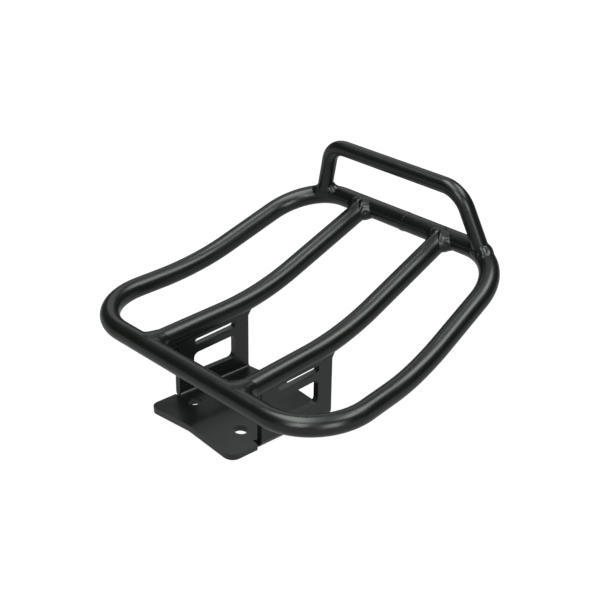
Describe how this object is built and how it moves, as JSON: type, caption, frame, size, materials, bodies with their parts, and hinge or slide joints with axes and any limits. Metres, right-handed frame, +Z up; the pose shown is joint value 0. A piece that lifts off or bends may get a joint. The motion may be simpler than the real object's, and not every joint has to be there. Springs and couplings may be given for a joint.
{
  "type": "scooter luggage rack",
  "caption": "Welded black tube rear rack: rounded hoop rising to the tail, inner rails, upright rear guard and a bent sheet bracket below.",
  "frame": {"origin": "top of the fold of the bracket's base, on its underside, midway between the two bolt holes", "axes": "+X to the right, +Y towards the tail (the guard's end), +Z up"},
  "size_m": [0.2756, 0.2414, 0.1683],
  "materials": {
    "coated_tube": "satin black powder coat",
    "coated_sheet": "satin black powder coat",
    "coated_weld": "satin black powder coat over weld"
  },
  "bodies": {
    "root": {"perimeter_hoop": "coated_tube", "left_inner_rail": "coated_tube", "right_inner_rail": "coated_tube", "rear_guard_hoop": "coated_tube", "mounting_bracket": "coated_sheet", "hoop_seam_weld": "coated_weld", "rail_weld_front_left": "coated_weld", "rail_weld_front_right": "coated_weld", "rail_weld_rear_left": "coated_weld", "rail_weld_rear_right": "coated_weld", "guard_weld_left": "coated_weld", "guard_weld_right": "coated_weld", "plate_weld_front_left": "coated_weld", "plate_weld_front_right": "coated_weld", "plate_weld_rear_left": "coated_weld", "plate_weld_rear_right": "coated_weld"}
  },
  "joints": []
}
